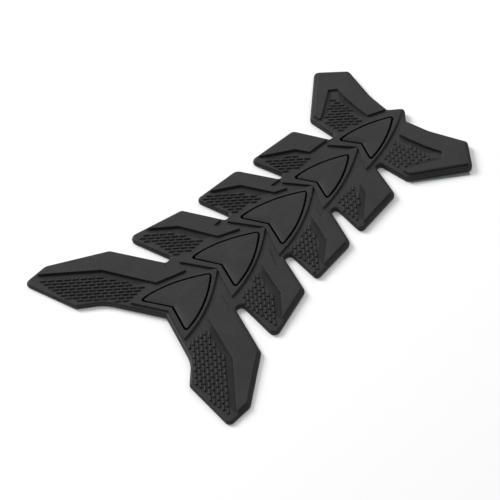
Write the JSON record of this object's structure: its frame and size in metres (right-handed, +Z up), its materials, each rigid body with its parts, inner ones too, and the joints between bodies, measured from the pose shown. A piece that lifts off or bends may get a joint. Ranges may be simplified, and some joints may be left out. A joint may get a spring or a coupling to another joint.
{
  "type": "motorcycle tank pad",
  "caption": "Flat rubber pad that sticks to the top of a motorcycle fuel tank and guards its paint: fins along a spine of raised arrow scales, with grip texture on the fins.",
  "frame": {"origin": "bottom centre of the pad's box, on the underside of the release liner", "axes": "+X along the spine from the forked tail to the head, +Y to the left, +Z up through the thickness to the raised face"},
  "size_m": [0.2208, 0.1362, 0.0052],
  "materials": {
    "rubber": "matte moulded black rubber with a fine grain",
    "adhesive": "dark soft adhesive foam, matte",
    "liner": "thin satin release film, grey-green"
  },
  "bodies": {
    "root": {"rubber_pad": "rubber", "adhesive_sheet": "adhesive", "release_liner": "liner"}
  },
  "joints": []
}
